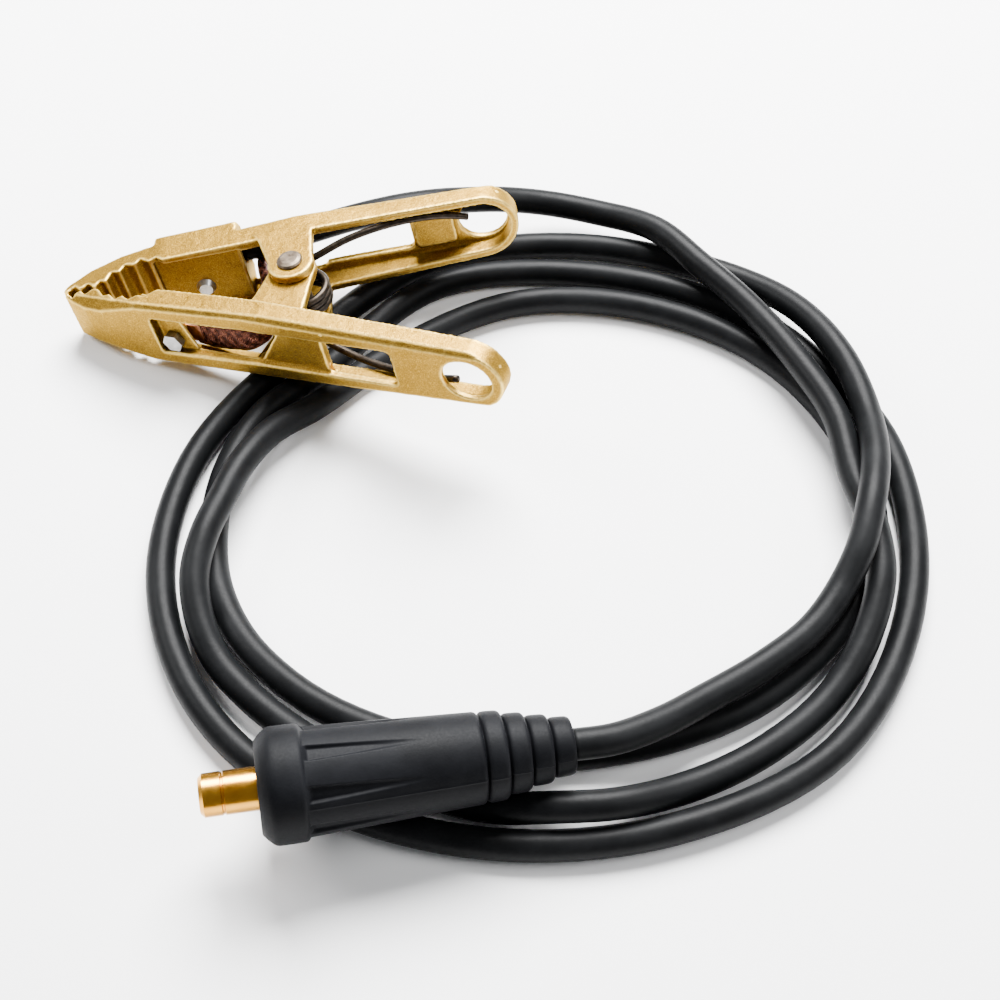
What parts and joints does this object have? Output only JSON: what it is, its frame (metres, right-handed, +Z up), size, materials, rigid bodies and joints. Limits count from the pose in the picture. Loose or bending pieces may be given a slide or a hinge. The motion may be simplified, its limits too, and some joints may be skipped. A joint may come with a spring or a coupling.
{
  "type": "welding ground clamp",
  "caption": "Spring-loaded cast brass welding ground clamp with toothed jaws, a copper bridging braid, and a coiled rubber lead ending in a bayonet cable plug.",
  "frame": {"origin": "middle of the clamp's bounding box in plan, on the surface that the clamp and its lead lie on", "axes": "+X along the clamp from the jaws' tip to the handles, +Y from the swing jaw to the cable jaw, +Z up; the clamp lies tip down with its handles on the lead"},
  "size_m": [0.3197, 0.2873, 0.054],
  "materials": {
    "cast_brass": "sand-cast brass, satin, edges rubbed bright",
    "turned_brass": "turned and polished brass",
    "rivet_steel": "dull grey steel rivet",
    "spring_steel": "dark oil-tempered spring wire",
    "zinc_steel": "zinc-plated steel",
    "copper_braid": "woven bare copper, tarnished",
    "copper_strands": "stranded bare copper",
    "copper_plate": "pressed copper",
    "lead_rubber": "black rubber sheath, matt with a faint sheen",
    "sleeve_rubber": "black moulded rubber, matt"
  },
  "bodies": {
    "cable_side": {"cable_jaw": "cast_brass", "pivot_rivet": "rivet_steel", "spring_fixed_half": "spring_steel", "braid_cable_half": "copper_braid", "braid_lug_cable": "copper_plate", "cable_side_bolt": "zinc_steel", "cable_side_nut": "zinc_steel", "lead_end_sheath": "lead_rubber", "lead_end_core": "copper_strands", "cable": "lead_rubber", "plug_sleeve": "sleeve_rubber", "plug_contact": "turned_brass", "plug_ferrule": "copper_plate", "plug_grub_screws": "zinc_steel", "plug_key": "turned_brass", "plug_lead_end": "lead_rubber", "plug_lead_core": "copper_strands"},
    "swing_side": {"swing_jaw": "cast_brass", "spring_moving_half": "spring_steel", "braid_swing_half": "copper_braid", "braid_lug_swing": "copper_plate", "swing_side_bolt": "zinc_steel", "swing_side_nut": "zinc_steel"}
  },
  "joints": [
    {"name": "jaw_pivot", "type": "hinge", "parent": "cable_side", "child": "swing_side", "pos_m": [0.00282, 0.00129, 0.02628], "axis": [-0.1736, 0.0618, 0.9829], "range_deg": [0, 30], "stiffness_Nm_per_rad": 3.3, "springref_deg": -34.38}
  ]
}
